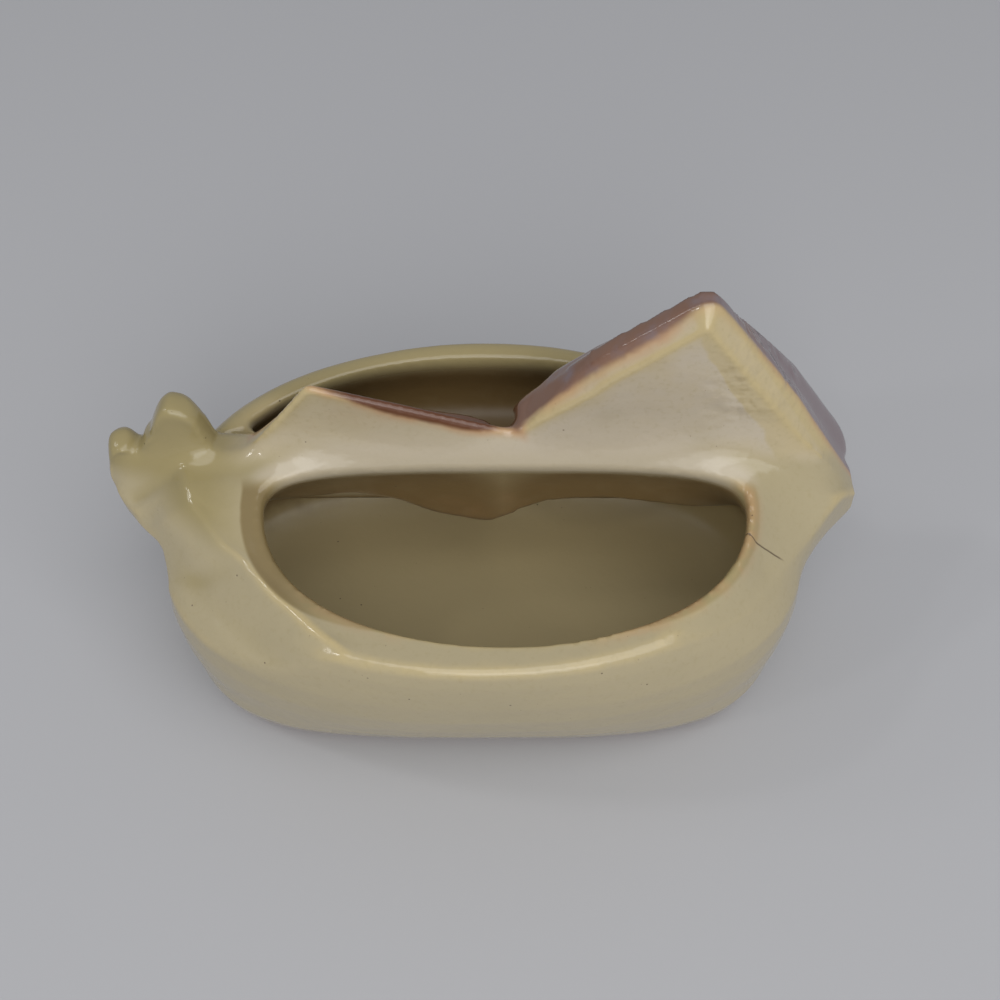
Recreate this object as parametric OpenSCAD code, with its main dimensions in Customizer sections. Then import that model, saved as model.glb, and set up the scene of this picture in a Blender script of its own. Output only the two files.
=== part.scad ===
/* [Body] */
// Greatest length of the belly
body_l = 197; // [160:1:230]
// Greatest depth of the belly, front to back
body_d = 125; // [105:1:145]
// Height of the front rim
rim_h = 72.5; // [66:0.5:80]
// Height of the seam where the collars sit on the bowl
seam_h = 50; // [44:1:54]
// Thickness of the clay wall
wall = 5.5; // [4:0.5:7]
// Thickness of the floor
floor_t = 4.5; // [3:0.5:7]

/* [Foot] */
// Height of the foot ring
foot_h = 2.5; // [1.5:0.5:4]
// Width of the foot ring
foot_w = 7; // [5:0.5:10]

/* [Planting mouth] */
// Length of the mouth, end to end
mouth_l = 141; // [120:1:146]
// How far the mouth is set to the right of the middle
mouth_shift = 6.5; // [0:0.5:9]
// Reach of the round near side of the mouth
mouth_near = 43.5; // [38:0.5:46]
// Reach of the flat far side of the mouth
mouth_far = 13.5; // [9:0.5:14]
// Distance of the mouth's widest line from the middle
mouth_y = 8; // [6:0.5:9]
// Fall of the near lip below the front rim
lip_drop = 3; // [0:0.5:6]
// Rise of the lip towards the slab
lip_rise = 9; // [2:0.5:10]
// Fall of the shoulder left of the mouth
shoulder_fall = 13; // [4:0.5:14]
// Fall of the web right of the mouth
web_fall = 8; // [3:0.5:10]
// Width of the flat band round the mouth
band_w = 8; // [6:0.5:9]
// How much wider that band grows where its edge swings out to the left arm
band_spread = 24; // [10:1:26]
// Reach along the belly of the webs that run out to the slab
web_d = 36; // [20:1:40]

/* [Slab] */
// Distance of the slab's back face from the middle
slab_y = 10; // [8:0.5:12]
// Thickness of the slab
slab_t = 10; // [8:0.5:12]
// Width of the bevel on the wing
bevel_w = 5; // [2:0.5:7]
// Rounding where the slab's edges meet
notch_r = 3; // [2:0.5:4]

/* [Left arm] */
// Reach of the arm beyond the end of the belly
arm_reach = 15.5; // [10:0.5:20]
// Width of the arm, outer side to its valley
arm_w = 35.5; // [32:0.5:38]
// Height of the first lobe
lobe_h = 80; // [76:0.5:86]
// Height of the second lobe
tall_lobe_h = 93.5; // [90:0.5:100]
// Rounding of the first lobe
lobe_r = 4; // [2:0.5:5]
// Rounding of the second lobe
tall_lobe_r = 6.2; // [4:0.2:7]

/* [Left peak] */
// Height of the left peak
peak_h = 105.5; // [98:0.5:110]
// Distance of the left peak from the middle
peak_x = 50; // [44:0.5:56]
// Rounding of the left peak
peak_r = 3.5; // [1:0.5:6]

/* [Right wing] */
// Distance of the notch from the middle
notch_x = 10; // [6:0.5:14]
// Height of the notch
notch_h = 86.5; // [82:0.5:90]
// Height of the wing's top corner
wing_h = 136; // [120:1:150]
// Distance of the top corner from the middle
wing_x = 62; // [56:0.5:68]
// Reach of the outer corner beyond the end of the belly
corner_reach = 15.5; // [10:0.5:20]
// Height of the outer corner
corner_h = 58; // [55:0.5:64]
// Rounding of the wing's corners
corner_r = 6; // [3:0.5:7]
// Swell of the wing's long edges beyond a straight line
edge_swell = 2; // [0:0.5:3]

/* [Front] */
// Height of the front basin's floor
basin_h = 46; // [42:0.5:47]
// Height of the front basin's back wall above its floor
basin_back = 16; // [12:0.5:17]
// Bulge of the wing's pillowed front
wing_bulge = 15; // [8:0.5:16]
// Bulge of the left panel's pillowed front
panel_bulge = 7; // [4:0.5:9]

/* [Hidden] */

// Points round a full oval, and along the long and short stretches of a D
oval_n = 96;
long_n = 60;
short_n = 28;
// Points on each rounded corner of the slab's outline, and the least radius of one
corner_n = 5;
least_radius = 0.3;

// Height of the lip on the near side
lip_h = rim_h - lip_drop;
// Outer sides of the arm and the wing, where the slab's three members meet, and its front face
arm_x = body_l / 2 + arm_reach;
corner_x = body_l / 2 + corner_reach;
valley_x = arm_x - arm_w;
slab_front = slab_y + slab_t;
// Top of the front basin's back wall, its middle line, and the height at which the leaves end over it
basin_back_h = basin_h + basin_back;
basin_y = mix(slab_front, body_d / 2, 0.42);
leaf_base = basin_back_h + wall / 3;
// Clearance between a piece and the curved clay that it follows
seat_gap = 0.2;
// Squareness of the far side of the mouth, and the angle at which that side starts
mouth_far_square = 3.2;
mouth_turn = 38;
// Where the shoulders beside the mouth start to fall, and over what run, as shares of body_l
fall_start_share = 0.24;
fall_run_share = 0.2;
// Share of its full reach that a web has at the seam, and how fast it narrows from the slab
web_low_share = 0.7;
web_power = 1.6;
// How hollow the sweep from the mouth up to the slab is
sweep_power = 1.4;

// Shares of rim_h against shares of body_l, of body_d and against the squareness of the oval
length_shares = [[0, 0.82], [0.036, 0.855], [0.143, 0.908], [0.314, 0.955], [0.514, 0.99],
                 [0.714, 0.985], [0.857, 0.95], [1, 0.9]];
depth_shares = [[0, 0.645], [0.036, 0.69], [0.143, 0.785], [0.314, 0.888], [0.514, 0.968],
                [0.714, 1], [0.857, 1], [1, 0.976]];
square_shares = [[0, 4.2], [0.143, 3.5], [0.314, 2.7], [0.514, 2.45], [0.714, 2.3], [0.857, 2.15], [1, 2]];

// Small helpers
function mix(a, b, s) = a + (b - a) * s;
function ease(s) = let (c = max(0, min(1, s))) c * c * (3 - 2 * c);
function power(v, e) = sign(v) * pow(abs(v), e);
function flip(list) = [for (i = [len(list) - 1 : -1 : 0]) list[i]];

// The belly: half sizes and squareness of its oval at height z, less an inset
function half_l(z, inset) = body_l / 2 * lookup(z / rim_h, length_shares) - inset;
function half_d(z, inset) = body_d / 2 * lookup(z / rim_h, depth_shares) - inset;
function square(z) = lookup(z / rim_h, square_shares);
function belly(z, inset, t) =
    [half_l(z, inset) * power(cos(t), 2 / square(z)), half_d(z, inset) * power(sin(t), 2 / square(z))];
function belly_ring(z, inset) = [for (i = [0 : oval_n - 1]) concat(belly(z, inset, 360 * i / oval_n), z)];
// Angle at which that oval crosses the line y
function cross_angle(z, inset, y) = asin(pow(y / half_d(z, inset), square(z) / 2));
// Reach in x of the oval at depth y
function belly_x(z, inset, y) = belly(z, inset, cross_angle(z, inset, abs(y)))[0];

// The planting mouth: a D with a round near side and a flatter far side
function mouth(t, grow) =
    let (p = sin(t) < 0 ? 2 : mouth_far_square, reach = sin(t) < 0 ? mouth_near : mouth_far)
    [mouth_shift + (mouth_l / 2 + grow) * power(cos(t), 2 / p),
     (reach + grow) * power(sin(t), 2 / p) - mouth_y];
// Height of the lip, which climbs from the near side to the slab
function lip_z(y) =
    lip_h + lip_rise * ease((y + mouth_near - mouth_y) / (mouth_near + mouth_far - mouth_y));

// Closed skins
// Loft through rings of equal counts, closed by a centre point at each end
module capped_loft(start, rings, end) {
    n = len(rings[0]);
    m = len(rings);
    points = concat([start], [for (r = rings) each r], [end]);
    last = len(points) - 1;
    faces = concat(
        [for (i = [0 : n - 1]) [0, 1 + i, 1 + (i + 1) % n]],
        ring_faces(n, m, 1, m - 1),
        [for (i = [0 : n - 1]) [last, 1 + (m - 1) * n + (i + 1) % n, 1 + (m - 1) * n + i]]);
    polyhedron(points, faces);
}
// Loft through rings whose last one joins the first
module closed_loft(rings) {
    polyhedron([for (r = rings) each r], ring_faces(len(rings[0]), len(rings), 0, len(rings)));
}
function ring_faces(n, m, first, spans) =
    [for (j = [0 : spans - 1], i = [0 : n - 1], half = [0, 1])
        let (a = first + j * n, b = first + ((j + 1) % m) * n, k = (i + 1) % n)
        half == 0 ? [a + i, b + i, b + k] : [a + i, b + k, a + k]];

// Outlines of the slab, drawn in x and z from left to right with the clay below
// Unit vector along an edge, and the normal that points into the clay
function along(a, b) = let (v = [b[0] - a[0], b[1] - a[1]]) v / norm(v);
function inward(a, b) = let (v = along(a, b)) [v[1], -v[0]];
// Corners [x, z, radius] moved into the clay by d
function inset_corners(c, d) = let (n = len(c)) [for (i = [0 : n - 1])
    let (n1 = inward(c[max(0, i - 1)], c[max(1, i)]),
         n2 = inward(c[min(n - 2, i)], c[min(n - 1, i + 1)]),
         turn = cross([n1[0], n1[1]], [n2[0], n2[1]]),
         move = (n1 + n2) * d / (1 + n1 * n2))
    [c[i][0] + move[0], c[i][1] + move[1], turn < 0 ? max(c[i][2] - d, 0) : c[i][2] + d]];
// The same corners rounded
function rounded(c) = let (n = len(c)) concat(
    [[c[0][0], c[0][1]]],
    [for (i = [1 : n - 2], s = [0 : corner_n])
        let (p = [c[i][0], c[i][1]], u = along(c[i - 1], p), v = along(p, c[i + 1]),
             room = 0.48 * min(norm(p - [c[i - 1][0], c[i - 1][1]]), norm([c[i + 1][0], c[i + 1][1]] - p)),
             half_turn = acos(max(-1, min(1, u * v))) / 2,
             reach = min(room, max(c[i][2], least_radius) * tan(half_turn)),
             k = s / corner_n)
        mix(mix(p - u * reach, p, k), mix(p, p + v * reach, k), k)],
    [[c[n - 1][0], c[n - 1][1]]]);
function outline(c, d) = rounded(inset_corners(c, d));
// Outline between two insets, in a share that may change from point to point
function blend(a, b, shares) = [for (i = [0 : len(a) - 1]) mix(a[i], b[i], shares[i])];

// Skin over outlines at rising depths: tops and bottoms are chains that run from left to right
module slab(tops, bottoms, depths) {
    nt = len(tops[0]);
    nb = len(bottoms[0]);
    n = nt + nb;
    m = len(depths);
    points = [for (k = [0 : m - 1]) each concat(
        [for (p = tops[k]) [p[0], depths[k], p[1]]],
        [for (p = flip(bottoms[k])) [p[0], depths[k], p[1]]])];
    back = zipped(tops[0], bottoms[0], n, 0, 0);
    front = zipped(tops[m - 1], bottoms[m - 1], n, 0, 0);
    faces = concat(
        back,
        [for (f = front) [for (v = flip(f)) v + (m - 1) * n]],
        [for (j = [0 : m - 2], i = [0 : n - 1], half = [0, 1])
            let (a = j * n, b = (j + 1) * n, k = (i + 1) % n)
            half == 0 ? [a + i, b + i, b + k] : [a + i, b + k, a + k]]);
    polyhedron(points, faces);
}
// Triangles between a top and a bottom chain, taken in the order of x
function zipped(t, b, n, i, j) =
    i >= len(t) - 1 && j >= len(b) - 1 ? [] :
    j >= len(b) - 1 || (i < len(t) - 1 && t[i + 1][0] <= b[j + 1][0])
        ? concat([[i, i + 1, n - 1 - j]], zipped(t, b, n, i + 1, j))
        : concat([[i, n - 2 - j, n - 1 - j]], zipped(t, b, n, i, j + 1));

// Foot ring
module foot_ring() {
    soft = 0.4 * foot_h;
    color("peru") closed_loft([
        belly_ring(0, soft), belly_ring(foot_h / 2, 0), belly_ring(foot_h, 0),
        belly_ring(foot_h, foot_w), belly_ring(foot_h / 2, foot_w), belly_ring(0, foot_w - soft)]);
}

// Bowl: belly outside, rounded floor inside
// Heights of its rings, as shares of the way from the foot to the seam
outer_shares = [0.12, 0.26, 0.42, 0.6, 0.8, 1];
inner_shares = [1, 0.8, 0.6, 0.42, 0.24];
module bowl() {
    floor_h = foot_h + floor_t;
    color("darkkhaki") capped_loft(
        [0, 0, foot_h],
        concat(
            [belly_ring(foot_h, 0)],
            [for (s = outer_shares) belly_ring(mix(foot_h, seam_h, s), 0)],
            [for (s = inner_shares) belly_ring(mix(foot_h, seam_h, s), wall)],
            [belly_ring(floor_h + floor_t / 2, 2 * wall), belly_ring(floor_h + floor_t / 6, 3 * wall)]),
        [0, 0, floor_h]);
}

// The webs: how far the outline at height z and depth y runs out beyond the belly, to meet the slab
// at reach_x
function web_run(z) = web_d * mix(web_low_share, 1, (z - seam_h) / (lip_h - seam_h));
function web(z, y, reach_x) =
    (reach_x - belly_x(z, 0, slab_y)) * pow(max(0, min(1, 1 - (slab_y - y) / web_run(z))), web_power);

// A D that follows the belly on one side of the line y and closes along that line
// side 1 keeps the far side of the belly and side -1 the near side; z_line is the height on the line,
// reached from each end over the share ramp of its length
far_ramp_share = 0.1;
near_ramp_share = 0.16;
function d_ring(z, inset, y, z_line, side, ramp) =
    let (a = cross_angle(z, inset, abs(y)) * sign(y), x = belly(z, inset, a)[0],
         from = side > 0 ? a : 180 - a, sweep = side > 0 ? 180 - 2 * a : 180 + 2 * a)
    concat(
        [for (i = [0 : long_n]) concat(belly(z, inset, from + sweep * i / long_n), z)],
        [for (i = [1 : short_n - 1])
            let (s = i / short_n)
            [side * mix(-x, x, s), y, mix(z, z_line, ease(min(s, 1 - s) / ramp))]]);

// Collar of the planting mouth, with its lip, its webs and its rise against the slab
// Heights of that rise, as shares of the ledge's height above the seam, against shares of arm_x
line_shares = [[-1, 0.4], [-0.86, 0.64], [-0.76, 0.82], [-0.66, 0.88], [-0.54, 1], [-0.4, 1.12],
               [0.1, 1.16], [0.5, 1.2], [0.66, 1.08], [0.8, 0.78], [0.92, 0.42], [1, 0.32]];
ledge = lip_h + lip_rise;
// Share of the way up from the seam to the lip at which the crest lies, inside the collar's outline
crest_share = 0.96;
// An outline of the near side at a share up from the seam to the lip, webs included
function near_ring(share, inset) =
    let (z = mix(seam_h, lip_h, share),
         ring = d_ring(z, inset, slab_y, z, -1, 1),
         reach = [arm_x - inset, corner_x - inset],
         ends = [for (side = [0, 1]) belly_x(z, inset, slab_y) + web(z, slab_y, reach[side])])
    [for (i = [0 : len(ring) - 1])
        let (p = ring[i], side = p[0] < 0 ? 0 : 1,
             s = p[0] / belly_x(z, inset, slab_y),
             x = i > long_n ? s * ends[side] : p[0] + (2 * side - 1) * web(z, p[1], reach[side]))
        [x, p[1], mix(z, line_z(x, share), near_line(p[1]))]];
// Height of that outline on the slab's line: it starts higher over the hollow than over the roots
function line_z(x, share) =
    let (over = ease((belly_x(seam_h, 0, slab_y) - abs(x)) / (2 * wall)),
         up = mix(0.55 * over, 1, share / crest_share))
    seam_h + (ledge - seam_h) * lookup(x / arm_x, line_shares) * up;
// 1 on the slab's line and 0 a slab's thickness before it
function near_line(y) = pow(max(0, 1 - (slab_y - y) / (1.2 * slab_t)), 2);
function mouth_ring(grow, drop) =
    let (a = mouth_turn)
    concat(
        [for (i = [0 : long_n]) mouth_point(180 - a + (180 + 2 * a) * i / long_n, grow, drop)],
        [for (i = [1 : short_n - 1]) mouth_point(a + (180 - 2 * a) * i / short_n, grow, drop)]);
function mouth_point(t, grow, drop) =
    let (p = mouth(t, grow)) [p[0], min(p[1], slab_y - seat_gap), lip_z(p[1]) - drop];
// Beside the mouth the outer side of the collar sinks: to the left beyond a ridge, to the right evenly
function leftness(p) = ease((-p[0] / body_l - fall_start_share) / fall_run_share);
function rightness(p) = ease((p[0] / body_l - fall_start_share) / fall_run_share);
function sunk(ring) = [for (p = ring)
    let (fall = (shoulder_fall * leftness(p) + web_fall * rightness(p)) / (lip_h - seam_h),
         away = ease((slab_y - p[1]) / (2 * slab_t)))
    [p[0], p[1], seam_h + (p[2] - seam_h) * (1 - fall * away)]];
// Rings of the top: s runs from the crest to the ridge, and past it over the flat band to the mouth
// On the left the band widens towards the slab, so that the ridge runs out to the arm's taller lobe
function spread(p) = leftness(p) * pow(ease((p[1] + mouth_near / 2) / (slab_y + mouth_near / 2)), 0.8);
function ridge_share(a, b) =
    1 - (band_w + band_spread * spread(a)) / max(norm([a[0] - b[0], a[1] - b[1]]), 1.25 * band_w);
// Away from the ridge the surface sweeps up to the slab in a hollow curve
function slope_ring(crest, rim, s) = [for (i = [0 : len(rim) - 1])
    let (a = crest[i], b = rim[i], r = ridge_share(a, b),
         edge = mix(a, b, r),
         t = s < 1 ? r * s : mix(r, 1, s - 1),
         hollow = mix(b[2], a[2], pow(1 - t, 1 + sweep_power * near_line(a[1]))),
         top = mix(edge[2], b[2], 0.9),
         ridge = s < 1 ? mix(a[2], top, s) : mix(top, b[2], s - 1))
    [mix(a[0], b[0], t), mix(a[1], b[1], t), mix(hollow, ridge, leftness(edge))]];
module back_rim() {
    lip = wall / 2;
    outer = [for (share = [0, 0.3, 0.6, 0.86]) sunk(near_ring(share, 0))];
    crest = sunk(near_ring(crest_share, lip / 2));
    rim = mouth_ring(lip / 2, lip / 6);
    color("khaki") closed_loft(concat(outer, [
        crest,
        slope_ring(crest, rim, 0.5),
        slope_ring(crest, rim, 1),
        slope_ring(crest, rim, 1.5),
        rim,
        mouth_ring(lip / 8, lip / 2),
        mouth_ring(0, 1.3 * lip),
        mouth_ring(lip / 2, 1.3 * wall),
        between_rings(mouth_ring(lip / 2, 1.5 * wall), inner_ring(0), 0.55),
        inner_ring(seat_gap)]));
}
function inner_ring(back) =
    d_ring(seam_h, wall, slab_y - back, ledge - 2 * wall, -1, near_ramp_share);
function between_rings(a, b, s) = [for (i = [0 : len(a) - 1]) mix(a[i], b[i], s)];

// Front basin: a D bowl whose far side is the belly wall above the seam
function basin_ring(z, inset, y, z_line, share) =
    [for (p = d_ring(z, inset, y, z_line, 1, far_ramp_share))
        [p[0] * share, mix(basin_y, p[1], share), p[2]]];
module front_basin() {
    lip = wall / 2;
    under = basin_h - wall;
    front = slab_front;
    inner = front + wall;
    color("darkkhaki") capped_loft(
        [0, basin_y, under],
        [
            basin_ring(under, 2 * wall, front, under, 0.4),
            basin_ring(under + lip / 4, 1.5 * wall, front, under + lip / 4, 0.75),
            basin_ring(mix(under, seam_h, 0.3), wall + 2 * seat_gap, front,
                       mix(under, seam_h, 0.15), 1),
            basin_ring(seam_h, wall, front, mix(under, seam_h, 0.6), 1),
            basin_ring(seam_h, 0, front, mix(seam_h, basin_back_h, 0.15), 1),
            basin_ring(mix(seam_h, rim_h, 0.3), 0, front, mix(seam_h, basin_back_h, 0.4), 1),
            basin_ring(mix(seam_h, rim_h, 0.6), 0, front, mix(seam_h, basin_back_h, 0.7), 1),
            basin_ring(rim_h - lip, 0, front, basin_back_h - lip / 2, 1),
            basin_ring(rim_h - lip / 4, lip / 2, front + lip / 2, basin_back_h, 1),
            basin_ring(rim_h, 1.4 * lip, front + lip, basin_back_h + lip / 8, 1),
            basin_ring(rim_h - lip / 4, 2.6 * lip, front + 1.6 * lip, basin_back_h - lip / 4, 1),
            basin_ring(rim_h - 1.5 * lip, 3 * lip, inner, basin_back_h - lip, 1),
            basin_ring(mix(basin_h, rim_h, 0.4), 2.5 * lip, inner,
                       mix(basin_h, basin_back_h, 0.4), 1),
            basin_ring(mix(basin_h, rim_h, 0.15), 3 * lip, inner + lip / 3,
                       mix(basin_h, basin_back_h, 0.15), 1),
            basin_ring(basin_h + lip / 3, 3 * lip, inner + lip / 3, basin_h + lip / 3, 0.8),
            basin_ring(basin_h, 3 * lip, inner + lip / 3, basin_h, 0.45)],
        [0, basin_y, basin_h]);
}

// Slab: corners of its top line as [x, z, radius]
arm_corners = [
    [-arm_x, seam_h, 0],
    [-arm_x, mix(seam_h, lobe_h, 0.45), arm_w / 2],
    [-arm_x + 0.07 * arm_w, lobe_h - 0.03 * arm_w, lobe_r],
    [-arm_x + 0.25 * arm_w, lobe_h, lobe_r],
    [-arm_x + 0.32 * arm_w, lobe_h - 0.14 * arm_w, lobe_r / 2],
    [-arm_x + 0.51 * arm_w, tall_lobe_h, tall_lobe_r],
    [-arm_x + 0.86 * arm_w, tall_lobe_h, tall_lobe_r],
    [-arm_x + 0.98 * arm_w, lobe_h - 0.09 * arm_w, tall_lobe_r / 2],
    [-valley_x, lobe_h - 0.09 * arm_w, 0]];
panel_corners = [
    [-valley_x, lobe_h - 0.09 * arm_w, 0],
    [-mix(peak_x, valley_x, 0.72), lobe_h - 0.09 * arm_w, 2 * tall_lobe_r],
    [-peak_x, peak_h, peak_r],
    [notch_x - notch_r, notch_h, notch_r],
    [notch_x, notch_h, 0]];
wing_corners = [
    [notch_x, notch_h, 0],
    [notch_x + notch_r / 3, notch_h, notch_r],
    [mix(notch_x, wing_x, 0.45) - edge_swell, mix(notch_h, wing_h, 0.45) + edge_swell, wing_x],
    [wing_x, wing_h, corner_r],
    [mix(wing_x, corner_x, 0.55) + edge_swell / 2, mix(wing_h, corner_h, 0.55) + edge_swell / 2, wing_x],
    [corner_x, corner_h, corner_r],
    [corner_x, seam_h, 0]];

// Bottom line of the slab over the hollow, as shares of the belly's half length and of seam_h
wave_shares = [[-0.79, 1], [-0.6, 1.06], [-0.41, 1.12], [-0.28, 1.06], [-0.16, 0.92], [0.01, 0.82],
               [0.1, 0.92], [0.2, 1.02], [0.37, 1.05], [0.53, 1], [0.66, 0.95], [0.82, 0.96], [0.89, 1]];
function wave(x) = seam_h * lookup(x / (body_l / 2), wave_shares);
function wave_chain(from, to, n, d) = [for (i = [0 : n]) let (x = mix(from, to, i / n))
    [x, wave(x) + d * ease((body_l * 0.43 - abs(x)) / wall)]];

// Depths and insets of its outlines, as shares of its thickness
arm_depth_shares = [0, 0.15, 0.6, 0.88, 1];
arm_inset_shares = [0.1, 0, 0, 0.12, 0.3];
panel_inset_shares = [0.1, 0, 0.55, 0.9, 1.2];
wing_depth_shares = [0, 0.5, 0.75, 1];
module left_arm() {
    insets = slab_t * arm_inset_shares;
    color("khaki") slab(
        [for (d = insets) outline(arm_corners, d)],
        [for (d = insets) [[-arm_x + d, seam_h], [-valley_x, seam_h]]],
        [for (s = arm_depth_shares) slab_y + slab_t * s]);
}
module back_panel() {
    chain_n = 22;
    arm_insets = slab_t * arm_inset_shares;
    insets = slab_t * panel_inset_shares;
    shares = [for (p = outline(panel_corners, 0)) ease((p[0] + valley_x) / arm_w)];
    color("khaki") slab(
        [for (k = [0 : len(insets) - 1])
            blend(outline(panel_corners, arm_insets[k]), outline(panel_corners, insets[k]), shares)],
        [for (k = [0 : len(insets) - 1])
            wave_chain(-valley_x, notch_x, chain_n, k == 0 ? wall / 2 : 0)],
        [for (s = arm_depth_shares) slab_y + slab_t * s]);
}
module right_wing() {
    chain_n = 24;
    reach = 2 * bevel_w;
    edge = outline(wing_corners, 0);
    bevel_shares = [for (p = edge) ease((p[0] - notch_x) / reach) * ease((p[1] - corner_h) / reach)];
    color("khaki") slab(
        [for (s = wing_depth_shares)
            s == 0 ? blend(edge, outline(wing_corners, bevel_w), bevel_shares) : edge],
        [for (s = wing_depth_shares) concat(
            wave_chain(notch_x, body_l * 0.445, chain_n, s == 0 ? wall / 2 : 0),
            [[corner_x, seam_h]])],
        [for (s = wing_depth_shares) slab_y + slab_t * s]);
}

// Roots of the arm and the wing: flanges that run out of the belly below the seam
root_shares = [1, 0.84, 0.68, 0.54];
// side is -1 on the left and 1 on the right; reach_x is the reach of the slab at the seam
module root(side, reach_x) {
    low = root_shares[len(root_shares) - 1];
    rings = [for (s = flip(root_shares))
        let (z = seam_h * s,
             share = pow((s - low) / (1 - low), 0.7),
             out = mix(belly_x(z, 0, slab_y) + wall / 2, reach_x, share),
             soft = min(slab_t / 3, (out - belly_x(z, 0, slab_y)) / 2))
        root_ring(z, out, soft, web_d * web_low_share * mix(0.2, 1, share), side)];
    low_z = seam_h * low;
    color("khaki") capped_loft(
        root_middle(low_z, belly_x(low_z, 0, slab_y) + wall / 2, side), rings,
        root_middle(seam_h, reach_x, side));
}
function root_middle(z, out, side) =
    [side * (belly_x(z, 0, slab_y) + out) / 2, slab_y + slab_t / 2, z];
function root_ring(z, out, soft, run, side) =
    let (inner = [for (k = [1, 0.8, 0.6, 0.4, 0.2, 0]) let (y = slab_y - run * k)
                  [belly_x(z, 0, y) + seat_gap, y]],
         front = [for (k = [0.5, 1]) let (y = mix(slab_y, slab_front, k))
                  [belly_x(z, 0, y) + seat_gap, y]],
         outer = [[out - soft, slab_front], [out - soft / 3, slab_front - soft / 3],
                  [out, slab_front - soft], [out, slab_y]],
         back = [for (k = [0.15, 0.35, 0.6, 0.8])
             let (y = slab_y - run * k, b = belly_x(z, 0, y) + seat_gap)
             [b + (out - belly_x(z, 0, slab_y)) * pow(1 - k, web_power), y]],
         ring = [for (p = concat(inner, front, outer, back)) [side * p[0], p[1], z]])
    side > 0 ? flip(ring) : ring;
module left_root() { root(-1, arm_x); }
module right_root() { root(1, corner_x); }

// Leaves: pillowed fronts of the slab
leaf_shares = [[1, 0], [1.03, 0.15], [1.04, 0.32], [1.02, 0.54], [0.95, 0.75], [0.82, 0.89], [0.6, 0.97],
               [0.3, 1]];
// corners run clockwise seen from the back; thin is the share of the bulge left at the top corner
// middle_share places the highest point of the pillow, and lean_share shifts it, as a share of the bulge
module leaf(corners, bulge, thin, middle_share, lean_share) {
    loop = closed_outline(corners);
    xs = [for (p = loop) p[0]];
    zs = [for (p = loop) p[1]];
    c = [mix(min(xs), max(xs), middle_share[0]), mix(min(zs), max(zs), middle_share[1])];
    lean = bulge * lean_share;
    function depth(z, s) = slab_front + bulge * s * mix(1, thin, ease((z - c[1]) / (max(zs) - c[1])));
    rings = [for (q = leaf_shares) [for (p = loop)
        let (x = mix(c[0], p[0], q[0]), z = mix(c[1], p[1], q[0]))
        [x + lean[0] * q[1], depth(z, q[1]), z + lean[1] * q[1]]]];
    color("rosybrown") capped_loft(
        [c[0], slab_front, c[1]], rings, [c[0] + lean[0], depth(c[1], 1), c[1] + lean[1]]);
}
function closed_outline(c) = let (n = len(c)) [for (i = [0 : n - 1], s = [0 : corner_n])
    let (p = [c[i][0], c[i][1]], a = c[(i + n - 1) % n], b = c[(i + 1) % n],
         u = along(a, p), v = along(p, b),
         reach = c[i][2] * tan(acos(u * v) / 2), k = s / corner_n)
    mix(mix(p - u * reach, p, k), mix(p, p + v * reach, k), k)];
left_leaf_corners = [
    [-peak_x - 3 * peak_r, leaf_base, peak_r],
    [-peak_x - 3 * peak_r, lobe_h - peak_r, peak_r],
    [-peak_x - peak_r / 2, peak_h - 1.5 * slab_t, 2 * peak_r],
    [notch_x - 2 * notch_r, notch_h - 1.3 * slab_t, notch_r],
    [notch_x - 4 * notch_r, leaf_base, notch_r]];
right_leaf_corners = [
    [notch_x + 5 * notch_r, leaf_base, notch_r],
    [notch_x - notch_r / 3, notch_h - notch_r, notch_r],
    [mix(notch_x, wing_x, 0.45), mix(notch_h, wing_h, 0.45) - edge_swell / 2, wing_x / 3],
    [wing_x, wing_h - corner_r / 2, corner_r],
    [mix(wing_x, corner_x, 0.55), mix(wing_h, corner_h, 0.55), wing_x / 3],
    [corner_x, corner_h, corner_r],
    [corner_x - corner_r, corner_h - corner_r / 3, notch_r],
    [corner_x - 2.8 * corner_r, mix(corner_h, rim_h, 0.2), notch_r],
    [corner_x - 3.5 * corner_r, rim_h + 0.6 * notch_r, notch_r / 2],
    [wing_x, rim_h + 0.8 * notch_r, notch_r],
    [wing_x - 5 * notch_r, leaf_base, notch_r]];
module left_leaf() { leaf(left_leaf_corners, panel_bulge, 0.4, [0.5, 0.55], [0, 0]); }
module right_leaf() { leaf(right_leaf_corners, wing_bulge, 0.12, [0.75, 0.43], [0.22, -0.1]); }

foot_ring();
bowl();
back_rim();
front_basin();
back_panel();
left_arm();
right_wing();
left_root();
right_root();
left_leaf();
right_leaf();
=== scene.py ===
"""A glazed ceramic planter on a pale studio floor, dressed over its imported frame."""

import math

import bpy
import numpy as np
from bpy.props import FloatProperty, FloatVectorProperty, IntProperty, PointerProperty
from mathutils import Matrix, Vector, noise
from mathutils.bvhtree import BVHTree


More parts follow.
